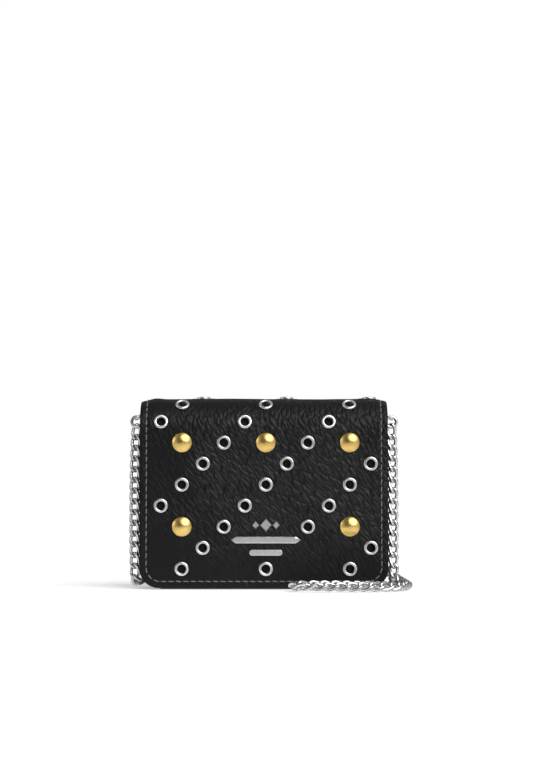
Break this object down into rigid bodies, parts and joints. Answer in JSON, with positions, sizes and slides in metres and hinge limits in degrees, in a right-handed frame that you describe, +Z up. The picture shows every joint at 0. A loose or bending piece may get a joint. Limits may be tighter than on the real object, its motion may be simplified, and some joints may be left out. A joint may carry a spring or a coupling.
{
  "type": "chain wallet",
  "caption": "Small upright leather wallet with a fold-over flap dressed with eyelets and domed rivets, card pockets inside, and a fine curb-chain shoulder strap gathered behind it.",
  "frame": {"origin": "on the standing surface, under the middle of the wallet without its chain", "axes": "+X to the right as seen from the front, +Y from the flap's face to the back, +Z up"},
  "size_m": [0.1312, 0.0991, 0.089],
  "materials": {
    "flap_leather": "black pebbled leather",
    "back_leather": "black pebbled leather",
    "wall_leather": "black pebbled leather",
    "smooth_leather": "smooth black leather",
    "lining": "black woven lining",
    "board": "stiffener board",
    "thread": "grey waxed thread",
    "nickel": "polished nickel",
    "gold": "polished gold-coloured brass",
    "chain": "polished nickel chain",
    "tie": "black twist tie"
  },
  "bodies": {
    "wallet_body": {"snap_stud": "nickel", "snap_stud_rivet": "nickel", "back_leather": "back_leather", "back_stiffener": "board", "back_lining": "lining", "back_stitching": "thread", "front_wall_leather": "wall_leather", "front_wall_lining": "lining", "front_wall_stitching": "thread", "base_panel": "smooth_leather", "gusset_left": "smooth_leather", "gusset_right": "smooth_leather", "divider": "smooth_leather", "card_pocket_front": "smooth_leather", "card_pocket_middle": "smooth_leather", "card_pocket_rear": "smooth_leather", "side_tab_left": "smooth_leather", "side_tab_right": "smooth_leather", "chain_end_ring_left": "nickel", "chain_end_ring_right": "nickel", "chain_left_run": "chain", "chain_right_run": "chain", "chain_hank": "chain", "hank_tie": "tie"},
    "flap": {"flap_leather": "flap_leather", "flap_stiffener": "board", "flap_lining": "lining", "flap_stitching": "thread", "eyelets": "nickel", "eyelet_washers": "nickel", "dome_rivets": "gold", "dome_rivet_caps": "nickel", "ornament_crest": "nickel", "ornament_bar": "nickel", "ornament_oval": "nickel", "snap_socket": "nickel", "snap_socket_rivet": "nickel"},
    "left_ring": {"d_ring_left": "nickel"},
    "right_ring": {"d_ring_right": "nickel"}
  },
  "joints": [
    {"name": "flap_fold", "type": "hinge", "parent": "wallet_body", "child": "flap", "pos_m": [0, 0.01296, 0.08078], "axis": [-1, 0, 0], "range_deg": [0, 180]},
    {"name": "left_ring_swing", "type": "hinge", "parent": "wallet_body", "child": "left_ring", "pos_m": [-0.0556, 0.00292, 0.0822], "axis": [0, -1, 0], "range_deg": [0, 19]},
    {"name": "right_ring_swing", "type": "hinge", "parent": "wallet_body", "child": "right_ring", "pos_m": [0.0556, 0.00292, 0.0822], "axis": [0, 1, 0], "range_deg": [0, 19]}
  ]
}
